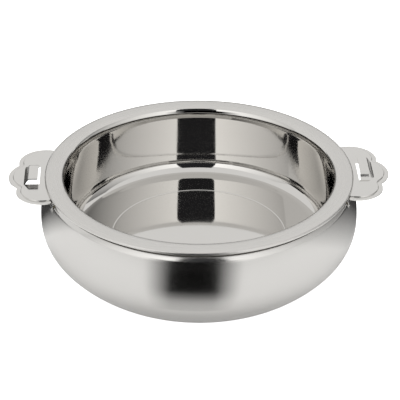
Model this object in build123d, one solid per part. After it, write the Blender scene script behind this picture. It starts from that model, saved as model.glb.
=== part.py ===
from build123d import *
import os
from math import cos, radians, sin

# Insulated stainless serving kettle: a mirror-polished bowl with a wide rim, hung inside a bellied
# shell, with rigid foam between them and a stamped, lug-locking handle on each side.
#
# Frame: origin at the centre of the base, +Z up, +X along the right handle, -Y to the front.
# Sections are drawn as (radius, height). Millimetres and degrees.

# ---- driving dimensions ----
SHEET = 0.8                  # wall of the bowl and of the shell

RIM_HEIGHT = 101.0           # top of the flat seat on the rim
RIM_RADIUS = 148.0           # outer face of the rim's turned-down lip
LIP_BOTTOM = 98.0
LIP_ROLL = (1.8, 80.0)       # radius and turn of each bend, from the lip to the bowl's wall
OUTER_CROWN = (20.0, 10.0)
INNER_CROWN = (24.0, 10.0)
WALL_RADIUS = 128.4          # inside of the bowl, just under the rim
WALL_DRAFT = -1.0            # the wall bellies out a little on its way down
INNER_ROLLS = [(3.5, 58.0), (22.0, 22.0 - WALL_DRAFT)]
FLOOR_HEIGHT = 29.6          # inside floor of the bowl
FLOOR_LEAD = (400.0, -5.0)   # gentle bend from the wall into the corner
FLOOR_CORNER = 13.5
GROOVE_RADIUS = 84.5         # stiffening groove in the floor
GROOVE_BEND = (2.5, 20.0)

FOOT_RADIUS = 107.2          # outer edge of the flat foot
FOOT_WIDTH = 8.0
BASE_RECESS = 3.0            # the middle of the base stands this far off the table
BASE_BEND = (2.0, 45.0)
BELLY_BENDS = [(8.0, 28.0), (103.5, 23.5), (45.2, 38.5)]      # foot up to the widest point
SHOULDER_SIDE = (120.0, 16.5)                                 # widest point up to the shoulder
SHOULDER = (10.0, 33.5)
NECK_BEND = (3.0, 40.0)
NECK_FLANGE = 0.8

FILL_HOLE = 7.0              # radii of the two foaming holes in the base, and of the plugs' heads
VENT_HOLE = 3.0
VENT_AT = 45.0
PLUG_FLANGE = 2.5
PLUG_LENGTH = 4.0
COVER_RADIUS = 70.0
COVER_SHEET = 0.8
SEAL_INNER = 142.9           # sealant bead between the rim and the neck
SEAL_OUTER = 145.2
SEAL_BOTTOM = 98.4

HANDLE_SHEET = 1.0
PLATEAU_TOP = LIP_BOTTOM     # the plate runs in under the lip
BRIM_DROP = 1.2
BRIM_WIDTH = 4.6
PLATE_INNER = 144.0
TIP_LOBE = (153.3, 0.0, 29.5)          # centre x, centre y, radius
SIDE_LOBE = (149.2, 27.2, 25.0)
NOTCH_ROUND = 2.0

HOOD_LENGTH = 34.0           # lock hood, along Y
HOOD_RAMP = 8.0
HOOD_RISE = 5.8
SLOT_EDGE = 152.6            # x of the slot's edge, the hood's free edge, its bend and its foot
HOOD_EDGE = 154.9
HOOD_BEND = 163.2
HOOD_FOOT = 167.3
HOOD_FOOT_INSET = 0.9        # from the hood's outer face in to its inner face, at the foot and bend
HOOD_BEND_INSET = 0.5

EAR_ANGLES = (11.0, 20.0)    # about Z, from the handle's middle
EAR_TURN = (14.0, 53.0)      # along the shoulder, as its normal's angle
WEB_RADII = (144.2, 145.4)
WEB_END = 17.5
BRIDGE_ANGLES = (17.9, 20.6)
BRIDGE_FEET = (0.0, 66.0)    # turns along the shoulder, as its normal's angle
BRIDGE_TOP = (10.0, 56.0)
BRIDGE_FOOT = 6.0            # turn of each foot, where the strap is still part of the shell
BRIDGE_BITE = 0.1            # depth to which the feet run into the shell


UPWARDS = (Align.CENTER, Align.CENTER, Align.MIN)             # a cylinder that stands on its place


# ---- sections ----
def polar(length, angle):
    return Vector(length * cos(radians(angle)), length * sin(radians(angle)))


def trace(start, normal, steps, offset=0.0):
    """Follow tangent lines and bends from a point, and return the edges and the last point.

    The normal points out of the sheet's face, and the way ahead is 90 degrees to its left. A step is
    a length, or a radius and a turn, which is negative for a hollow bend. The offset moves the whole
    outline along its normal.
    """
    point = Vector(*start)
    edges = []
    for step in steps:
        if isinstance(step, tuple):
            radius, turn = step
            side = 1 if turn > 0 else -1
            centre = point - polar(side * radius, normal)
            first = normal if side > 0 else normal + 180
            edges.append(CenterArc(centre, radius + side * offset, first, turn))
            normal += turn
            point = centre + polar(side * radius, normal)
        else:
            end = point + polar(step, normal + 90)
            shift = polar(offset, normal)
            edges.append(Line(point + shift, end + shift))
            point = end
    return edges, point


def sheet(start, normal, steps, thickness):
    """A sheet of even thickness behind the traced outline."""
    face, _ = trace(start, normal, steps)
    back, _ = trace(start, normal, steps, -thickness)
    ends = [Line(face[0] @ 0, back[0] @ 0), Line(face[-1] @ 1, back[-1] @ 1)]
    return make_face(face + back + ends)


def turned(section):
    return revolve(Plane.XZ * section, Axis.Z)


def swept(section, first, last):
    """Part of a turned ring, from one angle about Z to another."""
    return Rot(0, 0, first) * revolve(Plane.XZ * section, Axis.Z, last - first)


def block(x, y, z):
    """A box between two limits on each axis."""
    size = [b - a for a, b in (x, y, z)]
    middle = [(a + b) / 2 for a, b in (x, y, z)]
    return Pos(*middle) * Box(*size)


def ring(radii, heights):
    """The section of a plain ring."""
    size = (radii[1] - radii[0], heights[1] - heights[0])
    return Pos(sum(radii) / 2, sum(heights) / 2) * Rectangle(*size)


# ---- bowl ----
def bowl_steps():
    """The bowl's polished face, from the lip's bottom edge over the rim and down to the floor's middle."""
    crowns = [LIP_ROLL, OUTER_CROWN]
    rise = trace((0, 0), 0, crowns)[1].Y
    lip = RIM_HEIGHT - LIP_BOTTOM - rise
    outer_edge = RIM_RADIUS + trace((0, 0), 0, crowns)[1].X
    inner = trace((0, 0), 90, [INNER_CROWN] + INNER_ROLLS)[1]
    seat = outer_edge - (WALL_RADIUS - inner.X)
    corner = [FLOOR_LEAD, (FLOOR_CORNER, WALL_DRAFT - FLOOR_LEAD[1] - 90)]
    corner_drop = trace((0, 0), 180 - WALL_DRAFT, corner)[1].Y
    wall = (RIM_HEIGHT + inner.Y + corner_drop - FLOOR_HEIGHT) / cos(radians(WALL_DRAFT))
    radius, turn = GROOVE_BEND
    groove = [(radius, turn), (radius, -2 * turn), (radius, turn)]
    half_groove = 2 * radius * sin(radians(turn))
    to_corner = crowns + [seat, INNER_CROWN] + INNER_ROLLS + [wall] + corner
    floor_edge = RIM_RADIUS + trace((0, 0), 0, to_corner)[1].X
    outer_floor = floor_edge - GROOVE_RADIUS - half_groove
    inner_floor = GROOVE_RADIUS - half_groove
    return [lip] + to_corner + [outer_floor] + groove + [inner_floor]


def bowl_hollow(steps):
    """The space inside the bowl, up to the height of the seat."""
    face, end = trace((RIM_RADIUS, LIP_BOTTOM), 0, steps)
    wall_side = face[steps.index(INNER_CROWN):]
    top = Line((0, RIM_HEIGHT), wall_side[0] @ 0)
    axis = Line((0, RIM_HEIGHT), end)
    return turned(make_face([top, axis] + list(wall_side)))


def inner_bowl(steps):
    return turned(sheet((RIM_RADIUS, LIP_BOTTOM), 0, steps, SHEET))


# ---- shell ----
def shell_steps():
    """The shell's outer face, from the base's middle round the belly to the flange under the rim."""
    radius, turn = BASE_BEND
    drop = trace((0, 0), -90, [(radius, -turn), (radius, turn)])[1]
    slope = (BASE_RECESS + drop.Y) / sin(radians(turn))
    foot_start = FOOT_RADIUS - FOOT_WIDTH
    floor = foot_start - drop.X - slope * cos(radians(turn))
    base = [floor, (radius, -turn), slope, (radius, turn), FOOT_WIDTH]
    side = BELLY_BENDS + [SHOULDER_SIDE, SHOULDER]
    lean = sum(bend[1] for bend in side) - 90
    rise = trace((0, 0), -90, side)[1].Y
    bend_rise = trace((0, 0), lean, [NECK_BEND])[1].Y
    neck = (RIM_HEIGHT - SHEET - rise - bend_rise) / cos(radians(lean))
    return base + side + [neck, NECK_BEND, NECK_FLANGE]


def shell_cavity(steps):
    """Everything inside the shell, up to its flange."""
    face, end = trace((0, BASE_RECESS), -90, steps, -SHEET)
    top_point = face[-1] @ 1
    lid = Line(top_point, (0, top_point.Y))
    axis = Line((0, top_point.Y), face[0] @ 0)
    return turned(make_face(face + [lid, axis]))


def shoulder_centre(steps):
    """Centre of the shoulder bend, in section."""
    to_shoulder = steps[: steps.index(SHOULDER)]
    point = trace((0, BASE_RECESS), -90, to_shoulder)[1]
    lean = sum(bend[1] for bend in BELLY_BENDS + [SHOULDER_SIDE]) - 90
    return point - polar(SHOULDER[0], lean)


def bridge_section(centre):
    """A strap lanced out of the shoulder, high enough for the handle's ear to pass under it."""
    foot = SHOULDER[0] - BRIDGE_BITE
    under = SHOULDER[0] + HANDLE_SHEET
    top = under + SHEET
    low, high = BRIDGE_FEET
    first, last = BRIDGE_TOP
    crest = CenterArc(centre, top, first, last - first)
    soffit = CenterArc(centre, under, first + BRIDGE_FOOT / 2, last - first - BRIDGE_FOOT)
    feet = [centre + polar(foot, a) for a in (low, low + BRIDGE_FOOT, high - BRIDGE_FOOT, high)]
    edges = [
        crest,
        soffit,
        Line(feet[0], crest @ 0),
        Line(feet[0], feet[1]),
        Line(feet[1], soffit @ 0),
        Line(soffit @ 1, feet[2]),
        Line(feet[2], feet[3]),
        Line(feet[3], crest @ 1),
    ]
    return make_face(edges)


def lance_section(centre):
    """The gap that the strap leaves in the shoulder."""
    outer = SHOULDER[0] + HANDLE_SHEET
    inner = SHOULDER[0] - 2 * SHEET
    first, last = BRIDGE_FEET[0] + BRIDGE_FOOT, BRIDGE_FEET[1] - BRIDGE_FOOT
    outside = CenterArc(centre, outer, first, last - first)
    inside = CenterArc(centre, inner, first, last - first)
    return make_face([outside, inside, Line(inside @ 0, outside @ 0), Line(inside @ 1, outside @ 1)])


def both_ends(angles):
    """An angular span and its mirror image, for each of the two handles."""
    first, last = angles
    return [(side + a, side + b) for side in (0, 180) for a, b in ((first, last), (-last, -first))]


def outer_shell(steps, centre):
    shell = turned(sheet((0, BASE_RECESS), -90, steps, SHEET))
    for first, last in both_ends(BRIDGE_ANGLES):
        shell -= swept(lance_section(centre), first, last)
        shell += swept(bridge_section(centre), first, last)
    through = 4 * SHEET
    shell -= Pos(0, 0, BASE_RECESS) * Cylinder(FILL_HOLE, through)
    shell -= Pos(VENT_AT, 0, BASE_RECESS) * Cylinder(VENT_HOLE, through)
    return shell


# ---- what is between and under them ----
def plug(hole, x):
    """A push-in plug, flush with the base, with a head inside the shell."""
    stem = Pos(x, 0, BASE_RECESS) * Cylinder(hole, PLUG_LENGTH, align=UPWARDS)
    head = Pos(x, 0, BASE_RECESS + SHEET) * Cylinder(hole + PLUG_FLANGE, PLUG_LENGTH / 2, align=UPWARDS)
    return stem + head


def rim_seal(bowl):
    """Sealant bead under the rim, outside the neck."""
    return turned(ring((SEAL_INNER, SEAL_OUTER), (SEAL_BOTTOM, RIM_HEIGHT - SHEET))) - bowl


def base_cover():
    """Pressed disc over the foaming holes, with a dished edge."""
    disc = Pos(0, 0, BASE_RECESS - COVER_SHEET) * Cylinder(COVER_RADIUS, COVER_SHEET, align=UPWARDS)
    lower_edge = disc.edges().sort_by(Axis.Z)[0]
    return chamfer(lower_edge, COVER_SHEET / 2)


# ---- handle ----
def lobed(inset):
    """The handle's three-lobed plan, drawn in by a distance, out from under the rim."""
    plan = Sketch()
    for x, y, radius in (TIP_LOBE, SIDE_LOBE, (SIDE_LOBE[0], -SIDE_LOBE[1], SIDE_LOBE[2])):
        plan += Pos(x, y) * Circle(radius - inset)
    notches = [v for v in plan.vertices() if v.X > TIP_LOBE[0]]
    plan = fillet(notches, NOTCH_ROUND)
    return plan - Circle(PLATE_INNER)


def stamped_plate():
    """Plate with a raised middle and a lower brim along its free edge."""
    top = PLATEAU_TOP
    brim_top = top - BRIM_DROP
    raised = lobed(BRIM_WIDTH)
    under_raised = lobed(BRIM_WIDTH + HANDLE_SHEET)
    plate = Pos(0, 0, top - HANDLE_SHEET) * extrude(raised, HANDLE_SHEET)
    plate += Pos(0, 0, brim_top - HANDLE_SHEET) * extrude(lobed(0) - under_raised, HANDLE_SHEET)
    step = BRIM_DROP + HANDLE_SHEET
    return plate + Pos(0, 0, top - step) * extrude(raised - under_raised, step)


def hood_outline(rise):
    """Section of the hood across X, as a sheet, with its middle raised by a given height."""
    top = PLATEAU_TOP
    under = top - HANDLE_SHEET
    return [
        (HOOD_EDGE, top + rise),
        (HOOD_BEND, top + rise),
        (HOOD_FOOT, top),
        (HOOD_FOOT - HOOD_FOOT_INSET, under),
        (HOOD_BEND - HOOD_BEND_INSET, under + rise),
        (HOOD_EDGE, under + rise),
    ]


def hood_face(rise, y):
    points = [(x, y, z) for x, z in hood_outline(rise)]
    return make_face(Polyline(*points, close=True))


def lock_hood():
    """Tunnel for the lid's lug: open at the +Y end and towards the bowl, ramped shut at the -Y end."""
    start = -HOOD_LENGTH / 2
    tunnel = extrude(hood_face(HOOD_RISE, start + HOOD_RAMP), HOOD_LENGTH - HOOD_RAMP, dir=(0, 1, 0))
    ramp = loft([hood_face(0, start), hood_face(HOOD_RISE, start + HOOD_RAMP)], ruled=True)
    return tunnel + ramp


def handle_ear(centre, mirrored):
    """Ear bent down from the plate's inner edge, lying on the shoulder and ending under the bridge."""
    first, last = EAR_TURN
    low = CenterArc(centre, SHOULDER[0], first, last - first)
    high = CenterArc(centre, SHOULDER[0] + HANDLE_SHEET, first, last - first)
    strap = make_face([low, high, Line(low @ 0, high @ 0), Line(low @ 1, high @ 1)])
    web_foot = (centre + polar(SHOULDER[0] + HANDLE_SHEET / 2, last)).Y
    web = ring(WEB_RADII, (web_foot - HANDLE_SHEET, PLATEAU_TOP))
    start, end = EAR_ANGLES
    ear = swept(strap, start, end) + swept(web, start, WEB_END)
    return mirror(ear, Plane.XZ) if mirrored else ear


def right_handle(centre, shell):
    half = HOOD_LENGTH / 2
    top = PLATEAU_TOP
    cut = block((SLOT_EDGE, HOOD_FOOT - HANDLE_SHEET), (-half, half), (top - 2 * HANDLE_SHEET, top + 1))
    handle = stamped_plate() - cut + lock_hood()
    return handle + handle_ear(centre, False) + handle_ear(centre, True) - shell


def build():
    steps = bowl_steps()
    side = shell_steps()
    centre = shoulder_centre(side)
    bowl = inner_bowl(steps)
    shell = outer_shell(side, centre)
    fill = plug(FILL_HOLE, 0)
    vent = plug(VENT_HOLE, VENT_AT)
    right = right_handle(centre, shell)
    left = Rot(0, 0, 180) * right
    foam = shell_cavity(side) - bowl_hollow(steps) - bowl - fill - vent - shell - left - right
    return {
        "inner_bowl": bowl,
        "outer_shell": shell,
        "insulation_foam": foam,
        "rim_seal": rim_seal(bowl),
        "fill_plug": fill,
        "vent_plug": vent,
        "base_cover": base_cover(),
        "right_handle": right,
        "left_handle": left,
    }


os.makedirs("parts", exist_ok=True)
for name, piece in build().items():
    export_step(piece, f"parts/{name}.step")
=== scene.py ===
import math

import bmesh
import bpy
from mathutils import Matrix, Vector
from mathutils.geometry import tessellate_polygon


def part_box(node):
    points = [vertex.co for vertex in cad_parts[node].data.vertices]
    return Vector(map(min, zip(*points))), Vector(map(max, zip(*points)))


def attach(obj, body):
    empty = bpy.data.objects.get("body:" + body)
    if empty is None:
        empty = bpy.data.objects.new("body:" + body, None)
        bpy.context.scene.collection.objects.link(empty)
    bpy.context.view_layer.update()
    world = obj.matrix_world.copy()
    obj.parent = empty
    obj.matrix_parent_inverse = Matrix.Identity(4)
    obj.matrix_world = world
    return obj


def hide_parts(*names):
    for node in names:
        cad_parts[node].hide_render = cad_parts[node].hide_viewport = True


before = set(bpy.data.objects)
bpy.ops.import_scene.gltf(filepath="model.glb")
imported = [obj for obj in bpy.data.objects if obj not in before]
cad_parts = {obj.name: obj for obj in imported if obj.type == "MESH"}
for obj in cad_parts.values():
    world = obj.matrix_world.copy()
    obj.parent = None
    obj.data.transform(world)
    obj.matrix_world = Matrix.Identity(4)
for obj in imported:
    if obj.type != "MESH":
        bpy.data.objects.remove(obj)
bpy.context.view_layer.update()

# An insulated serving kettle: a mirror-polished bowl with a satin rim, hung in a bellied satin shell,
# and a stamped, lobed handle on each side. +X runs along the right handle, -Y to the front.
# Sizes are millimetres and degrees; a mesh is made metres as it is built.
MM = 0.001


def reach(node, axis):
    """How far a CAD node reaches along an axis, in millimetres."""
    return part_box(node)[1][axis] / MM


# ---- sizes ----
SHEET = 0.8
RIM_RADIUS = reach("inner_bowl", 0)
RIM_HEIGHT = reach("inner_bowl", 2)
LIP_BOTTOM = 98.0
LIP_ROLL = (1.8, 80.0)       # radius and turn of each bend, from the lip to the bowl's wall
OUTER_CROWN = (20.0, 10.0)
INNER_CROWN = (24.0, 10.0)
WALL_RADIUS = 128.4
WALL_DRAFT = -1.0
INNER_ROLLS = [(3.5, 58.0), (22.0, 22.0 - WALL_DRAFT)]
FLOOR_HEIGHT = 29.6
FLOOR_LEAD = (400.0, -5.0)   # gentle bend from the wall into the corner
FLOOR_CORNER = 13.5
GROOVE_RADIUS = 84.5
GROOVE_BEND = (2.5, 20.0)

FOOT_RADIUS = 107.2
FOOT_WIDTH = 8.0
BASE_RECESS = 3.0
BASE_BEND = (2.0, 45.0)
BELLY_BENDS = [(8.0, 28.0), (103.5, 23.5), (45.2, 38.5)]
SHOULDER_SIDE = (120.0, 16.5)
SHOULDER = (10.0, 33.5)
NECK_BEND = (3.0, 40.0)
NECK_FLANGE = 0.8

HANDLE_SHEET = 1.0
PLATEAU_TOP = LIP_BOTTOM
BRIM_DROP = 1.2
BRIM_WIDTH = 4.6
PLATE_INNER = 144.0
TIP_LOBE = (153.3, 0.0, 29.5)          # centre x, centre y, radius
SIDE_LOBE = (149.2, 27.2, 25.0)
NOTCH_ROUND = 2.0
RISER_BEND = (0.4, 78.0)
RISER_EDGE = 0.5             # flat run between the riser's top bend and the raised middle
LOBE_STEPS = (18, 8, 40)     # points round half the tip lobe, a notch and a side lobe
RIM_SIDE_STEPS = 24

HOOD_HALF = 17.0             # half the hood's length, along Y
HOOD_RAMP = 8.0              # length over which its top rises from the shut end
HOOD_RISE = reach("right_handle", 2) - PLATEAU_TOP
SLOT_EDGE = 152.6
HOOD_EDGE = 154.0
HOOD_BEND = 163.2
HOOD_FOOT = 167.3
HOOD_ROUND = 1.8
HOOD_STEP = 0.6
HOOD_ROWS = 40
HOOD_CROWDING = 1.5          # above 1, rows are closer together at the shut end

SEGMENTS = 262               # round a turned piece; the bridges' edges fall on its meridians
BRIDGE_TURNS = (13, 15)
BRIDGE_LIFT = 1.9
BRIDGE_RAMPS = (0.55, 0.2)   # shares of a strap over which it rises at its low end and falls at its high end
BRIDGE_ENDS = (87.0, 99.0)   # heights between which a strap is torn loose
NECK_RADIUS = 130.0
EAR_ANGLES = (11.0, 20.0)
EAR_TURN = (14.0, 53.0)
EAR_RISE = 1.8               # straight run from the shoulder's bend up to the plate
EAR_STEPS = 8

BOWL_EDGE_ROUND = 0.3        # rounds of the cut edges
SHELL_EDGE_ROUND = 0.2
HANDLE_EDGE_ROUND = 0.25

ARC_STEP = 5.0               # largest turn and longest stretch between two points of a section
LINE_STEP = 1.6
PLATE_STEP = 2.0
WELD = 1e-6                  # metres; closer points of a mesh become one

ROOT = "root"


# ---- sections ----
def polar(length, angle):
    """A flat vector of a length at an angle in degrees."""
    return Vector((math.cos(math.radians(angle)), math.sin(math.radians(angle)))) * length


def bearing(way):
    """The angle of a flat vector, in degrees."""
    return math.degrees(math.atan2(way.y, way.x))


def follow(start, normal, steps, line_step=LINE_STEP):
    """Points and outward normals, as angles, along tangent lines and bends from a point.

    The way ahead is 90 degrees to the left of the normal. A step is a length, or a radius and a turn,
    which is negative for a hollow bend.
    """
    point = Vector(start)
    stations = [(point.copy(), normal)]
    for step in steps:
        if isinstance(step, tuple):
            radius, turn = step
            side = math.copysign(1, turn)
            centre = point - polar(side * radius, normal)
            arc_length = radius * math.radians(abs(turn))
            count = max(math.ceil(abs(turn) / ARC_STEP), math.ceil(arc_length / line_step))
            for i in range(1, count + 1):
                angle = normal + turn * i / count
                stations.append((centre + polar(side * radius, angle), angle))
            normal += turn
        else:
            count = max(1, math.ceil(step / line_step))
            for i in range(1, count + 1):
                stations.append((point + polar(step * i / count, normal + 90), normal))
        point = stations[-1][0]
    return stations


def end_of(start, normal, steps):
    """Where such a line ends."""
    return follow(start, normal, steps, 1000.0)[-1][0]


def bowl_steps():
    """The bowl's polished face, from the lip's bottom edge over the rim and down to the floor's middle."""
    crowns = [LIP_ROLL, OUTER_CROWN]
    rise = end_of((0, 0), 0, crowns)
    inner = end_of((0, 0), 90, [INNER_CROWN] + INNER_ROLLS)
    seat = RIM_RADIUS + rise.x - (WALL_RADIUS - inner.x)
    corner = [FLOOR_LEAD, (FLOOR_CORNER, WALL_DRAFT - FLOOR_LEAD[1] - 90)]
    corner_drop = end_of((0, 0), 180 - WALL_DRAFT, corner).y
    wall = (RIM_HEIGHT + inner.y + corner_drop - FLOOR_HEIGHT) / math.cos(math.radians(WALL_DRAFT))
    radius, turn = GROOVE_BEND
    half_groove = 2 * radius * math.sin(math.radians(turn))
    to_corner = crowns + [seat, INNER_CROWN] + INNER_ROLLS + [wall] + corner
    floor_edge = RIM_RADIUS + end_of((0, 0), 0, to_corner).x
    floor = [floor_edge - GROOVE_RADIUS - half_groove, (radius, turn), (radius, -2 * turn), (radius, turn)]
    return [RIM_HEIGHT - LIP_BOTTOM - rise.y] + to_corner + floor + [GROOVE_RADIUS - half_groove]


def shell_steps():
    """The shell's outer face, from the base's middle round the belly to the flange under the rim."""
    radius, turn = BASE_BEND
    drop = end_of((0, 0), -90, [(radius, -turn), (radius, turn)])
    slope = (BASE_RECESS + drop.y) / math.sin(math.radians(turn))
    floor = FOOT_RADIUS - FOOT_WIDTH - drop.x - slope * math.cos(math.radians(turn))
    side = BELLY_BENDS + [SHOULDER_SIDE, SHOULDER]
    lean = sum(bend[1] for bend in side) - 90
    rise = end_of((0, 0), -90, side).y
    bend_rise = end_of((0, 0), lean, [NECK_BEND]).y
    neck = (RIM_HEIGHT - SHEET - rise - bend_rise) / math.cos(math.radians(lean))
    return [floor, (radius, -turn), slope, (radius, turn), FOOT_WIDTH] + side + [neck, NECK_BEND, NECK_FLANGE]


# ---- meshes ----
def add_object(name, data):
    """Put a mesh, a lamp or the camera in the scene, at the origin."""
    piece = bpy.data.objects.new(name, data)
    bpy.context.scene.collection.objects.link(piece)
    return piece


def mesh_from(name, points, edges=(), faces=()):
    """A mesh from points in millimetres."""
    mesh = bpy.data.meshes.new(name)
    mesh.from_pydata([Vector(p) * MM for p in points], edges, faces)
    return mesh


def turning_tree():
    """Geometry Nodes that turn a section, drawn in XZ as a chain of points, about Z."""
    tree = bpy.data.node_groups.new("turn_about_z", "GeometryNodeTree")
    tree.is_modifier = True
    tree.interface.new_socket("Section", in_out="INPUT", socket_type="NodeSocketGeometry")
    tree.interface.new_socket("Segments", in_out="INPUT", socket_type="NodeSocketInt")
    tree.interface.new_socket("Steel", in_out="INPUT", socket_type="NodeSocketMaterial")
    tree.interface.new_socket("Turned", in_out="OUTPUT", socket_type="NodeSocketGeometry")
    new, link = tree.nodes.new, tree.links.new

    def maths(operation, a, b):
        node = new("ShaderNodeMath")
        node.operation = operation
        for socket, value in zip(node.inputs, (a, b)):
            if isinstance(value, (int, float)):
                socket.default_value = value
            else:
                link(value, socket)
        return node.outputs[0]

    given, made = new("NodeGroupInput"), new("NodeGroupOutput")
    size = new("GeometryNodeAttributeDomainSize")
    link(given.outputs["Section"], size.inputs["Geometry"])
    stations = size.outputs["Point Count"]
    grid = new("GeometryNodeMeshGrid")
    link(maths("ADD", given.outputs["Segments"], 1), grid.inputs["Vertices X"])
    link(stations, grid.inputs["Vertices Y"])
    index = new("GeometryNodeInputIndex").outputs[0]
    place = new("GeometryNodeSampleIndex")
    place.data_type = "FLOAT_VECTOR"
    place.domain = "POINT"
    link(given.outputs["Section"], place.inputs["Geometry"])
    link(new("GeometryNodeInputPosition").outputs[0], place.inputs["Value"])
    link(maths("MODULO", index, stations), place.inputs["Index"])
    meridian = maths("FLOOR", maths("DIVIDE", index, stations), 0)
    share = maths("DIVIDE", meridian, given.outputs["Segments"])
    turn = new("ShaderNodeVectorRotate")
    turn.rotation_type = "Z_AXIS"
    link(place.outputs[0], turn.inputs["Vector"])
    link(maths("MULTIPLY", share, 2 * math.pi), turn.inputs["Angle"])
    move = new("GeometryNodeSetPosition")
    link(grid.outputs["Mesh"], move.inputs["Geometry"])
    link(turn.outputs[0], move.inputs["Position"])
    merge = new("GeometryNodeMergeByDistance")
    merge.inputs["Distance"].default_value = WELD
    link(move.outputs[0], merge.inputs["Geometry"])
    smooth = new("GeometryNodeSetShadeSmooth")
    link(merge.outputs[0], smooth.inputs["Geometry"])
    real = new("GeometryNodeRealizeInstances")
    link(smooth.outputs[0], real.inputs[0])
    steel = new("GeometryNodeSetMaterial")
    link(real.outputs[0], steel.inputs["Geometry"])
    link(given.outputs["Steel"], steel.inputs["Material"])
    link(steel.outputs[0], made.inputs[0])
    return tree


def evaluated(piece):
    """The piece with its modifiers applied, as a plain mesh under the same name."""
    bpy.context.view_layer.update()
    graph = bpy.context.evaluated_depsgraph_get()
    final = piece.evaluated_get(graph)
    mesh = bpy.data.meshes.new_from_object(final, preserve_all_data_layers=True, depsgraph=graph)
    mesh.name = piece.name
    piece.modifiers.clear()
    old, piece.data = piece.data, mesh
    bpy.data.meshes.remove(old)
    return piece


def turned_skin(name, stations, steel, tree):
    """The face of a turned sheet, made by the turning tree."""
    points = [(p.x, 0, p.y) for p, _ in stations]
    chain = [(i, i + 1) for i in range(len(points) - 1)]
    piece = add_object(name, mesh_from(name, points, chain))
    turning = piece.modifiers.new("turn", "NODES")
    turning.node_group = tree
    inputs = {s.name: s.identifier for s in tree.interface.items_tree if s.in_out == "INPUT"}
    turning[inputs["Segments"]] = SEGMENTS
    turning[inputs["Steel"]] = steel
    return evaluated(piece)


def face_towards(piece, station):
    """Turn all faces round if they look into the sheet at a station of its section."""
    point, angle = station
    place = Vector((point.x, 0, point.y)) * MM
    outward = polar(1, angle)
    nearest = min(piece.data.polygons, key=lambda f: (f.center - place).length)
    if nearest.normal.dot(Vector((outward.x, 0, outward.y))) < 0:
        piece.data.flip_normals()


def thicken(piece, thickness, edge_round):
    """Give a face the sheet's thickness behind it, with slightly rounded cut edges."""
    wall = piece.modifiers.new("wall", "SOLIDIFY")
    wall.thickness = thickness * MM
    wall.offset = -1
    wall.use_even_offset = True
    bevel = piece.modifiers.new("edges", "BEVEL")
    bevel.width = edge_round * MM
    bevel.segments = 2
    bevel.limit_method = "ANGLE"
    bevel.angle_limit = math.radians(60)
    bevel.harden_normals = True
    return evaluated(piece)


def smooth(share):
    """An even slope from 0 to 1, with a level start and end."""
    share = min(1.0, max(0.0, share))
    return share * share * (3 - 2 * share)


def raise_bridges(piece, stations):
    """Tear the shell along two meridians on its shoulder, beside each handle's ears, and lift the straps."""
    low, high = BRIDGE_ENDS
    strap = [(p, angle) for p, angle in stations if low <= p.y <= high and p.x > NECK_RADIUS]
    travel = {}
    run = 0.0
    for i, (point, angle) in enumerate(strap):
        run += (point - strap[i - 1][0]).length if i else 0.0
        travel[round(point.y, 2)] = (run, angle)
    mesh = bmesh.new()
    mesh.from_mesh(piece.data)
    step = 360 / SEGMENTS
    first, last = (turn * step for turn in BRIDGE_TURNS)

    def azimuth(place):
        """Angle from the nearer handle's middle, without its sign."""
        return math.degrees(math.atan2(abs(place.y), abs(place.x)))

    def on_strap(place):
        return low < place.z / MM < high and place.xy.length > NECK_RADIUS * MM

    def strap_faces():
        middles = [(face, face.calc_center_median()) for face in mesh.faces]
        return [face for face, at in middles if on_strap(at) and first < azimuth(at) < last]

    near = step / 10
    tears = []
    for edge in {e for f in strap_faces() for e in f.edges}:
        ends = [azimuth(v.co) for v in edge.verts]
        on_tear = all(min(abs(a - first), abs(a - last)) < near for a in ends)
        if on_tear and abs(ends[0] - ends[1]) < near:
            tears.append(edge)
    bmesh.ops.split_edges(mesh, edges=tears)
    rising, falling = (share * run for share in BRIDGE_RAMPS)
    for vertex in {v for f in strap_faces() for v in f.verts}:
        way, angle = travel.get(round(vertex.co.z / MM, 2), (0.0, 0.0))
        lift = BRIDGE_LIFT * smooth(way / rising) * smooth((run - way) / falling)
        out = polar(lift, angle)
        around = vertex.co.xy.normalized()
        vertex.co += Vector((around.x * out.x, around.y * out.x, out.y)) * MM
    mesh.to_mesh(piece.data)
    mesh.free()
    return piece


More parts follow.
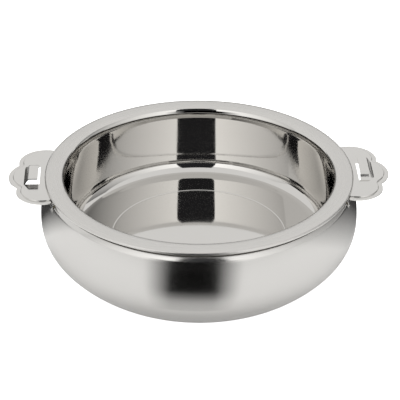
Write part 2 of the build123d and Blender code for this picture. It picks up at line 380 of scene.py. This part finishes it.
# ---- steel, foam and sealant ----
class Finish:
    """A material's nodes, with short ways to add and join them."""

    def __init__(self, name):
        self.material = bpy.data.materials.new(name)
        self.material.use_nodes = True
        self.tree = self.material.node_tree
        self.tree.nodes.clear()
        self.shader = self.add("ShaderNodeBsdfPrincipled")
        self.surface = self.add("ShaderNodeOutputMaterial").inputs["Surface"]
        self.link(self.shader.outputs[0], self.surface)
        self.place = self.add("ShaderNodeTexCoord").outputs["Object"]

    def add(self, kind, **settings):
        node = self.tree.nodes.new(kind)
        for key, value in settings.items():
            setattr(node, key, value)
        return node

    def link(self, source, socket):
        self.tree.links.new(source, socket)

    def maths(self, operation, *values):
        """A sum of numbers and of other nodes' outputs."""
        node = self.add("ShaderNodeMath", operation=operation)
        for socket, value in zip(node.inputs, values):
            if isinstance(value, (int, float)):
                socket.default_value = value
            else:
                self.link(value, socket)
        return node.outputs[0]

    def noise(self, scale, vector=None, detail=3.0, roughness=0.5):
        node = self.add("ShaderNodeTexNoise")
        node.inputs["Scale"].default_value = scale
        node.inputs["Detail"].default_value = detail
        node.inputs["Roughness"].default_value = roughness
        self.link(self.place if vector is None else vector, node.inputs["Vector"])
        return node.outputs[0]

    def spread(self, value, low, high, start=0.0, end=1.0):
        """Low to high, as a value goes from start to end."""
        node = self.add("ShaderNodeMapRange")
        self.link(value, node.inputs["Value"])
        for name, number in (("From Min", start), ("From Max", end), ("To Min", low), ("To Max", high)):
            node.inputs[name].default_value = number
        return node.outputs[0]

    def tint(self, share, first, second):
        """The base colour, between two close tones."""
        node = self.add("ShaderNodeMix", data_type="RGBA")
        self.link(share, node.inputs["Factor"])
        for socket, colour in ((node.inputs[6], first), (node.inputs[7], second)):
            socket.default_value = (*colour, 1)
        self.link(node.outputs[2], self.shader.inputs["Base Color"])

    def rough(self, value, low, high, start=0.0, end=1.0):
        """The roughness, from low to high as a value goes from start to end."""
        self.link(self.spread(value, low, high, start, end), self.shader.inputs["Roughness"])

    def glow(self, colour, strength=1.0):
        """A node that gives plain light of one colour."""
        node = self.add("ShaderNodeEmission")
        node.inputs["Color"].default_value = (*colour, 1)
        node.inputs["Strength"].default_value = strength
        return node

    def bump(self, height, strength, distance):
        """Relief from a height; the distance is in millimetres."""
        node = self.add("ShaderNodeBump")
        node.inputs["Strength"].default_value = strength
        node.inputs["Distance"].default_value = distance * MM
        self.link(height, node.inputs["Height"])
        self.link(node.outputs[0], self.shader.inputs["Normal"])

    def set(self, **values):
        """Put the shader's own sockets at plain values."""
        for key, value in values.items():
            self.shader.inputs[key.replace("_", " ")].default_value = value

    def place_parts(self):
        """X, Y and Z of the place, and its distance from the Z axis."""
        split = self.add("ShaderNodeSeparateXYZ")
        self.link(self.place, split.inputs[0])
        x, y, z = split.outputs
        squares = [self.maths("MULTIPLY", part, part) for part in (x, y)]
        return x, y, z, self.maths("SQRT", self.maths("ADD", *squares))

    def round_place(self, along, across):
        """Coordinates that run round Z, out from Z and up, each at its own scale, for polishing lines."""
        x, y, z, radius = self.place_parts()
        join = self.add("ShaderNodeCombineXYZ")
        self.link(self.maths("MULTIPLY", self.maths("ARCTAN2", y, x), along), join.inputs[0])
        self.link(self.maths("MULTIPLY", radius, across), join.inputs[1])
        self.link(self.maths("MULTIPLY", z, across), join.inputs[2])
        return join.outputs[0], radius


NOISE_SPAN = (0.3, 0.7)      # where most of a noise's values lie
SATIN_START = (WALL_RADIUS + 1.5, WALL_RADIUS + 3.5)   # radii between which mirror polish turns to satin


def bowl_steel():
    """Mirror polish inside the bowl, which turns to a satin band over the rim."""
    finish = Finish("bowl_steel")
    lines, radius = finish.round_place(1.5, 2200.0)
    satin = finish.spread(radius, 0.0, 1.0, SATIN_START[0] * MM, SATIN_START[1] * MM)
    grain = finish.noise(1.0, lines, detail=4.0, roughness=0.6)
    cloud = finish.noise(22.0, detail=4.0)
    mirror_rough = finish.spread(cloud, 0.035, 0.075, *NOISE_SPAN)
    satin_rough = finish.spread(grain, 0.24, 0.36, *NOISE_SPAN)
    rough = finish.add("ShaderNodeMix", data_type="FLOAT")
    finish.link(satin, rough.inputs[0])
    finish.link(mirror_rough, rough.inputs[2])
    finish.link(satin_rough, rough.inputs[3])
    finish.link(rough.outputs[0], finish.shader.inputs["Roughness"])
    finish.tint(cloud, (0.65, 0.638, 0.618), (0.68, 0.669, 0.65))
    wave = finish.noise(14.0, detail=1.0)
    dents = finish.maths("MULTIPLY", wave, 3.0)
    height = finish.maths("ADD", dents, finish.maths("MULTIPLY", grain, satin))
    finish.bump(height, strength=0.25, distance=0.02)
    finish.set(Metallic=1.0)
    return finish.material


def shell_steel():
    """Fine satin polish with faint lines round the shell."""
    finish = Finish("shell_steel")
    lines, _ = finish.round_place(2.0, 1800.0)
    grain = finish.noise(1.0, lines, detail=4.0, roughness=0.6)
    cloud = finish.noise(16.0, detail=4.0)
    finish.rough(grain, 0.15, 0.19, *NOISE_SPAN)
    finish.tint(cloud, (0.66, 0.65, 0.632), (0.68, 0.67, 0.653))
    finish.bump(grain, strength=0.05, distance=0.004)
    finish.set(Metallic=1.0)
    return finish.material


def handle_steel():
    """Bright-polished stamping with faint drawing marks."""
    finish = Finish("handle_steel")
    cloud = finish.noise(60.0, detail=4.0)
    finish.rough(cloud, 0.08, 0.14, *NOISE_SPAN)
    finish.tint(cloud, (0.66, 0.649, 0.63), (0.69, 0.68, 0.662))
    finish.bump(finish.noise(90.0, detail=2.0), strength=0.2, distance=0.02)
    finish.set(Metallic=1.0)
    return finish.material


def foam_skin():
    """Cream foam with its cells just showing."""
    finish = Finish("foam_skin")
    voronoi = finish.add("ShaderNodeTexVoronoi")
    voronoi.inputs["Scale"].default_value = 900.0
    finish.link(finish.place, voronoi.inputs["Vector"])
    cells = voronoi.outputs["Distance"]
    finish.tint(cells, (0.80, 0.72, 0.50), (0.90, 0.84, 0.66))
    finish.rough(cells, 0.75, 0.95)
    finish.bump(cells, strength=0.5, distance=0.3)
    return finish.material


def mottled(name, scale, detail, tones, shine, relief):
    """A soft or moulded material with a slight change of tone and shine from place to place."""
    finish = Finish(name)
    cloud = finish.noise(scale, detail=detail)
    finish.tint(cloud, *tones)
    finish.rough(cloud, *shine)
    finish.bump(cloud, *relief)
    return finish.material


def sealant_bead():
    """Grey silicone."""
    tones = ((0.16, 0.16, 0.16), (0.24, 0.24, 0.235))
    return mottled("sealant_bead", 300.0, 3.0, tones, shine=(0.4, 0.6), relief=(0.4, 0.1))


def plug_plastic():
    """Near-black moulded plastic."""
    tones = ((0.012, 0.012, 0.013), (0.03, 0.03, 0.032))
    return mottled("plug_plastic", 800.0, 2.0, tones, shine=(0.35, 0.55), relief=(0.3, 0.05))


# ---- handle ----
def shoulder_centre():
    """Centre of the shoulder bend, in section."""
    steps = shell_steps()
    before = steps[:steps.index(SHOULDER)]
    lean = sum(bend[1] for bend in BELLY_BENDS + [SHOULDER_SIDE]) - 90
    return end_of((0, BASE_RECESS), -90, before) - polar(SHOULDER[0], lean)


def arc(centre, radius, first, last, count):
    """Points round an arc, both ends included."""
    angles = [first + (last - first) * i / count for i in range(count + 1)]
    return [Vector(centre) + polar(1, angle) * radius for angle in angles]


def lobed_ring(inset):
    """The handle's three-lobed edge, drawn in by a distance, from under the rim round to under the rim."""
    tip = Vector(TIP_LOBE[:2])
    side = Vector(SIDE_LOBE[:2])
    tip_radius, side_radius = TIP_LOBE[2], SIDE_LOBE[2]
    # The notch's round touches both lobes from outside.
    between = tip - side
    far = between.length
    from_side, from_tip = side_radius + NOTCH_ROUND, tip_radius + NOTCH_ROUND
    along = (far ** 2 + from_side ** 2 - from_tip ** 2) / (2 * far)
    across = math.sqrt(from_side ** 2 - along ** 2)
    ahead = between.normalized()
    notch = side + ahead * along + Vector((-ahead.y, ahead.x)) * across
    # The side lobe ends where it meets the plate's inner radius.
    lobe = side_radius - inset
    end_cosine = (PLATE_INNER ** 2 - side.length_squared - lobe ** 2) / (2 * lobe * side.length)
    under_rim = bearing(side) + math.degrees(math.acos(end_cosine))
    tip_steps, notch_steps, side_steps = LOBE_STEPS
    half = arc(tip, tip_radius - inset, 0, bearing(notch - tip), tip_steps)
    to_side = bearing(side - notch) - 360
    half += arc(notch, NOTCH_ROUND + inset, bearing(tip - notch), to_side, notch_steps)[1:]
    half += arc(side, lobe, bearing(notch - side), under_rim, side_steps)[1:]
    return [Vector((p.x, -p.y)) for p in reversed(half[1:])] + half


def handle_face():
    """Top face of the stamped plate's edge, as (points, faces, inmost ring): the brim and the riser."""
    radius, turn = RISER_BEND
    bends = end_of((0, 0), 90, [(radius, -turn), (radius, turn)])
    riser = (BRIM_DROP - bends.y) / math.sin(math.radians(turn))
    steps = [BRIM_WIDTH - RISER_EDGE, (radius, -turn), riser, (radius, turn), RISER_EDGE]
    section = follow((0, PLATEAU_TOP - BRIM_DROP), 90, steps, PLATE_STEP)
    points, rings = [], []
    for place, _ in section:
        ring = lobed_ring(-place.x)
        rings.append(range(len(points), len(points) + len(ring)))
        points += [(p.x, p.y, place.y) for p in ring]
    faces = []
    for outer, inner in zip(rings, rings[1:]):
        for i in range(len(outer) - 1):
            faces.append((outer[i], outer[i + 1], inner[i + 1], inner[i]))
    return points, faces, rings[-1]


def hood_grid():
    """The lock hood as a grid: its free edge first across X, its shut end first along Y."""
    slope = math.degrees(math.atan2(HOOD_RISE, HOOD_FOOT - HOOD_BEND))
    bends = end_of((0, 0), 90, [(HOOD_ROUND, -slope), (HOOD_ROUND, slope)])
    side = (HOOD_RISE - bends.y) / math.sin(math.radians(slope))
    foot = HOOD_FOOT + HOOD_ROUND * math.tan(math.radians(slope / 2))
    up = [(HOOD_ROUND, -slope), side, (HOOD_ROUND, slope)]
    flat = end_of((foot, 0), 90, up).x - HOOD_EDGE
    across = follow((foot, 0), 90, up + [flat], HOOD_STEP)
    rows = []
    for j in range(HOOD_ROWS + 1):
        y = -HOOD_HALF + 2 * HOOD_HALF * (j / HOOD_ROWS) ** HOOD_CROWDING
        lift = smooth((y + HOOD_HALF) / HOOD_RAMP)
        rows.append([(p.x, y, PLATEAU_TOP + p.y * lift) for p, _ in across])
    return rows


def grid_faces(rows):
    """Four-sided faces between rows of point numbers."""
    faces = []
    for one, two in zip(rows, rows[1:]):
        for i in range(len(one) - 1):
            faces.append((one[i], one[i + 1], two[i + 1], two[i]))
    return faces


def ears(centre):
    """Two straps that run from under the plate down the shoulder, as (points, faces)."""
    radius = SHOULDER[0] + HANDLE_SHEET
    low, high = EAR_TURN
    section = follow(centre + polar(radius, low), low, [(radius, high - low), EAR_RISE])
    inner, outer = EAR_ANGLES
    points, faces = [], []
    for side in (-1, 1):
        columns = []
        for i in range(EAR_STEPS + 1):
            azimuth = side * (inner + (outer - inner) * i / EAR_STEPS)
            turn = Matrix.Rotation(math.radians(azimuth), 3, "Z")
            columns.append(range(len(points), len(points) + len(section)))
            points += [turn @ Vector((p.x, 0, p.y)) for p, _ in section]
        faces += [face[::side] for face in grid_faces(columns)]
    return points, faces


def stamped_handle(name, steel):
    """The right handle's sheet: lobed plate with its brim and hood, and the two ears bent down from it."""
    points, faces, edge = handle_face()
    rows = []
    for row in hood_grid():
        rows.append(range(len(points), len(points) + len(row)))
        points += row
    faces += grid_faces(rows)
    # The flat middle is filled between the riser's top, the rim side and the cut round the hood.
    ends = [bearing(Vector(points[i][:2])) for i in (edge[-1], edge[0])]
    rim_side = arc((0, 0), PLATE_INNER, *ends, RIM_SIDE_STEPS)[1:-1]
    outline = list(edge) + list(range(len(points), len(points) + len(rim_side)))
    points += [(p.x, p.y, PLATEAU_TOP) for p in rim_side]
    foot_line = [row[0] for row in rows]
    shut_line = list(rows[0])
    corners = [(SLOT_EDGE, -HOOD_HALF), (SLOT_EDGE, HOOD_HALF), (points[foot_line[-1]][0], HOOD_HALF)]
    slot = list(range(len(points), len(points) + len(corners)))
    points += [(x, y, PLATEAU_TOP) for x, y in corners]
    hole = shut_line[::-1] + foot_line[1:-1] + [slot[2], slot[1], slot[0]]
    loops = [[Vector(points[i]) for i in loop] for loop in (outline, hole)]
    both = outline + hole
    for triangle in tessellate_polygon(loops):
        faces.append(tuple(both[i] for i in triangle))
    strap_points, strap_faces = ears(shoulder_centre())
    faces += [tuple(len(points) + i for i in face) for face in strap_faces]
    points += strap_points
    mesh = mesh_from(name, points, faces=faces)
    mesh.materials.append(steel)
    piece = add_object(name, mesh)
    tidy = bmesh.new()
    tidy.from_mesh(mesh)
    bmesh.ops.remove_doubles(tidy, verts=tidy.verts, dist=WELD)
    for face in tidy.faces:
        face.smooth = True
        if face.normal.z < 0:
            face.normal_flip()
    tidy.to_mesh(mesh)
    tidy.free()
    return piece


# ---- the kettle ----
turning = turning_tree()
bowl_section = follow((RIM_RADIUS, LIP_BOTTOM), 0, bowl_steps())
shell_section = follow((0, BASE_RECESS), -90, shell_steps())

bowl = turned_skin("spun_bowl", bowl_section, bowl_steel(), turning)
face_towards(bowl, bowl_section[len(bowl_section) // 3])
thicken(bowl, SHEET, BOWL_EDGE_ROUND)
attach(bowl, ROOT)
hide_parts("inner_bowl")

shell = turned_skin("spun_shell", shell_section, shell_steel(), turning)
face_towards(shell, shell_section[len(shell_section) // 2])
raise_bridges(shell, shell_section)
thicken(shell, SHEET, SHELL_EDGE_ROUND)
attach(shell, ROOT)
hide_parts("outer_shell")

bright = handle_steel()
right = stamped_handle("right_handle_stamping", bright)
thicken(right, HANDLE_SHEET, HANDLE_EDGE_ROUND)
left = add_object("left_handle_stamping", right.data.copy())
left.data.transform(Matrix.Rotation(math.pi, 4, "Z"))
for handle, node in ((right, "right_handle"), (left, "left_handle")):
    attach(handle, ROOT)
    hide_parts(node)


def dress(node, material):
    """Give a CAD node its own finish."""
    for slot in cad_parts[node].material_slots:
        slot.material = material


plastic = plug_plastic()
dress("insulation_foam", foam_skin())
dress("rim_seal", sealant_bead())
dress("fill_plug", plastic)
dress("vent_plug", plastic)
dress("base_cover", shell.data.materials[0])


# ---- studio ----
# Lengths are metres, azimuths are degrees about the kettle and elevations are degrees above its foot.
SWEEP_RADIUS = 6.0
SWEEP_SIDES = 64
FLOOR_DROP = 0.0003          # keeps the floor just clear of the foot
FLOOR_GLOW = (0.12, 1.0)     # the floor's own light, for the steel and for the camera
CAMERA_WAY = -92.0           # azimuth from the kettle to the camera
CAMERA_RISE = 29.7
CAMERA_REACH = 1.702
CAMERA_LENS = 159.4
CAMERA_AIM = (0.001, 0.0, 0.0681)
CAMERA_ROLL = 0.3
BELLY_RADIUS = 0.152
STRIP_STEPS = 24

FLAG_REACH = 3.0             # distance of the flags and light panels
LOW_FLAG_REACH = 0.97 * FLAG_REACH
GAP_MIDDLE = CAMERA_WAY + 2.7    # the dark gap between the light panels
GAP_HALF = 17.3
GAP_RISE = (14, 58)
LOW_MIDDLE = CAMERA_WAY - 3.0    # the softer and wider dark below the gap, and on the floor
LOW_HALF = 24.6
LOW_EDGE = 9.0
LOW_NEAR = (0.135, 0.27)
FLOOR_FLAG = (0.16, FLAG_REACH, 0.002)         # nearest and furthest from the kettle, and height
# The BACK_ values lay out painted shade: black sheets on the floor behind the kettle, which only the steel's
# reflections see, stand in for the floor's shade there.
BACK_SHADE = (0.155, 2.5, 0.0025)
BACK_NEAR = (0.15, 0.20)
BACK_DENSITY = 0.95
BACK_SHADES = (("right", 34.0, 40.0, 25.0), ("left", 150.0, 24.0, 12.0))    # middle, half, edge
ROOM_SPAN = (CAMERA_WAY + 130, CAMERA_WAY + 230)
ROOM_RISE = (0, 17)
PANEL_RISE = (2, 48)
RIGHT_SPAN = (GAP_MIDDLE + GAP_HALF, CAMERA_WAY + 125)
LEFT_SPAN = (GAP_MIDDLE - GAP_HALF, CAMERA_WAY - 87)
RIGHT_LIGHT = (1.4, 0.25)    # strengths at the span's first and second azimuth
LEFT_LIGHT = (1.5, 0.75)
PANEL_WHITE = (1.0, 0.993, 0.98)
TENT_WHITE = (1.0, 0.995, 0.985)
TENT_LIGHT = 0.9
LAMP_SIZE = 1.6
LAMP_POWER = 14
LAMP_PLACE = (0, 0.35, 2.2)


def stand(name, verts, faces, material):
    """A floor, flag or panel, which is not part of the kettle."""
    mesh = bpy.data.meshes.new(name)
    mesh.from_pydata(verts, [], faces)
    mesh.materials.append(material)
    piece = add_object(name, mesh)
    return piece


def strip(name, azimuths, edges, material):
    """Part of a ring between two edges, each a distance and a height, which only reflections see."""
    verts = []
    for i in range(STRIP_STEPS + 1):
        azimuth = azimuths[0] + (azimuths[1] - azimuths[0]) * i / STRIP_STEPS
        for distance, height in edges:
            place = polar(distance, azimuth)
            verts.append((place.x, place.y, height))
    faces = [(2 * i, 2 * i + 2, 2 * i + 3, 2 * i + 1) for i in range(STRIP_STEPS)]
    piece = stand(name, verts, faces, material)
    piece.visible_camera = False
    piece.visible_shadow = False
    piece.visible_diffuse = False


def card(name, azimuths, elevations, material, reach=FLAG_REACH):
    """An upright curved card round the kettle."""
    low, high = (FLAG_REACH * math.tan(math.radians(rise)) for rise in elevations)
    strip(name, azimuths, ((reach, low), (reach, high)), material)


def sector(name, azimuths, lie, material):
    """A flat part of a ring, just above the floor."""
    near, far, height = lie
    strip(name, azimuths, ((far, height), (near, height)), material)


def unlit(name, colour):
    """One colour, whatever light falls on it."""
    finish = Finish(name)
    finish.link(finish.glow(colour).outputs[0], finish.surface)
    return finish.material


def pale_floor():
    """White paper, which looks a little lighter to the camera than it lights the steel."""
    finish = Finish("pale_floor")
    finish.tint(finish.noise(3.0, detail=2.0), (0.80, 0.80, 0.80), (0.82, 0.82, 0.82))
    finish.set(Roughness=0.9, Specular_IOR_Level=0.0, Emission_Color=(1, 1, 1, 1))
    seen = finish.add("ShaderNodeLightPath").outputs["Is Camera Ray"]
    finish.link(finish.spread(seen, *FLOOR_GLOW), finish.shader.inputs["Emission Strength"])
    return finish.material


def soft_flag(name, middle, half, edge, near, density):
    """Black that fades out past a span of azimuths, and inside a near distance from the kettle."""
    finish = Finish(name)
    x, y, _, radius = finish.place_parts()
    off = finish.maths("SUBTRACT", finish.maths("ARCTAN2", y, x), math.radians(middle))
    # Nearer the shell, a mirrored span of the floor is narrower about the kettle's middle.
    widening = finish.maths("SUBTRACT", 2.0, finish.maths("DIVIDE", BELLY_RADIUS, radius))
    share = finish.maths("DIVIDE", finish.maths("ABSOLUTE", off), widening)
    fade = (math.radians(half - edge) / 2, math.radians(half + edge) / 2)
    within = finish.spread(share, density, 0.0, *fade)
    beyond = finish.spread(radius, 0.0, 1.0, *near)
    mix = finish.add("ShaderNodeMixShader")
    finish.link(finish.maths("MULTIPLY", within, beyond), mix.inputs[0])
    finish.link(finish.add("ShaderNodeBsdfTransparent").outputs[0], mix.inputs[1])
    finish.link(finish.glow((0, 0, 0)).outputs[0], mix.inputs[2])
    finish.link(mix.outputs[0], finish.surface)
    return finish.material


def lit_panel(name, azimuths, strengths):
    """Light that changes evenly in strength from one azimuth to the other."""
    finish = Finish(name)
    x, y, _, _ = finish.place_parts()
    light = finish.glow(PANEL_WHITE)
    ends = [math.remainder(math.radians(azimuth), 2 * math.pi) for azimuth in azimuths]
    way = finish.maths("ARCTAN2", y, x)
    finish.link(finish.spread(way, *strengths, *ends), light.inputs["Strength"])
    finish.link(light.outputs[0], finish.surface)
    return finish.material


def around(middle, half, edge):
    return middle - half - edge, middle + half + edge


sweep = [polar(SWEEP_RADIUS, 360 * i / SWEEP_SIDES) for i in range(SWEEP_SIDES)]
stand("floor", [(p.x, p.y, -FLOOR_DROP) for p in sweep], [range(SWEEP_SIDES)], pale_floor())
gap_span = (GAP_MIDDLE - GAP_HALF, GAP_MIDDLE + GAP_HALF)
card("front_flag", gap_span, GAP_RISE, unlit("black_flag", (0.022, 0.022, 0.024)))
low_black = soft_flag("low_flag", LOW_MIDDLE, LOW_HALF, LOW_EDGE, LOW_NEAR, 1.0)
low_span = around(LOW_MIDDLE, LOW_HALF, LOW_EDGE)
card("low_front_flag", low_span, (0, GAP_RISE[0]), low_black, LOW_FLAG_REACH)
sector("floor_flag", low_span, FLOOR_FLAG, low_black)
# Painted shade on the floor behind the kettle, right and left: black sheets seen only in reflections,
# standing in for the shaded floor there.
for side, middle, half, edge in BACK_SHADES:
    shade = soft_flag(side + "_back_painted_shade", middle, half, edge, BACK_NEAR, BACK_DENSITY)
    sector(side + "_painted_shade_behind", around(middle, half, edge), BACK_SHADE, shade)
card("back_flag", ROOM_SPAN, ROOM_RISE, unlit("dark_room", (0.1, 0.098, 0.095)))
card("right_panel", RIGHT_SPAN, PANEL_RISE, lit_panel("right_panel_light", RIGHT_SPAN, RIGHT_LIGHT))
card("left_panel", LEFT_SPAN, PANEL_RISE, lit_panel("left_panel_light", LEFT_SPAN, LEFT_LIGHT))

world = bpy.data.worlds.new("light_tent")
world.use_nodes = True
bpy.context.scene.world = world
sky = world.node_tree.nodes["Background"]
sky.inputs["Color"].default_value = (*TENT_WHITE, 1)
sky.inputs["Strength"].default_value = TENT_LIGHT

# The lamp stays out of reflections, or it would burn out the rim and the bowl's floor from above.
lamp = bpy.data.lights.new("overhead", "AREA")
lamp.shape = "RECTANGLE"
lamp.size, lamp.size_y = LAMP_SIZE, LAMP_SIZE
lamp.energy = LAMP_POWER
overhead = add_object("overhead", lamp)
overhead.location = LAMP_PLACE
overhead.visible_camera = False
overhead.visible_glossy = False

camera_data = bpy.data.cameras.new("camera")
camera_data.lens = CAMERA_LENS
camera = add_object("camera", camera_data)
side_on = polar(CAMERA_REACH, CAMERA_RISE)
flat = polar(side_on.x, CAMERA_WAY)
camera.location = (flat.x, flat.y, RIM_HEIGHT * MM + side_on.y)
look = (Vector(CAMERA_AIM) - camera.location).to_track_quat("-Z", "Y")
roll = Matrix.Rotation(math.radians(CAMERA_ROLL), 3, "Z")
camera.rotation_euler = (look.to_matrix() @ roll).to_euler()
bpy.context.scene.camera = camera
bpy.context.scene.view_settings.view_transform = "Standard"
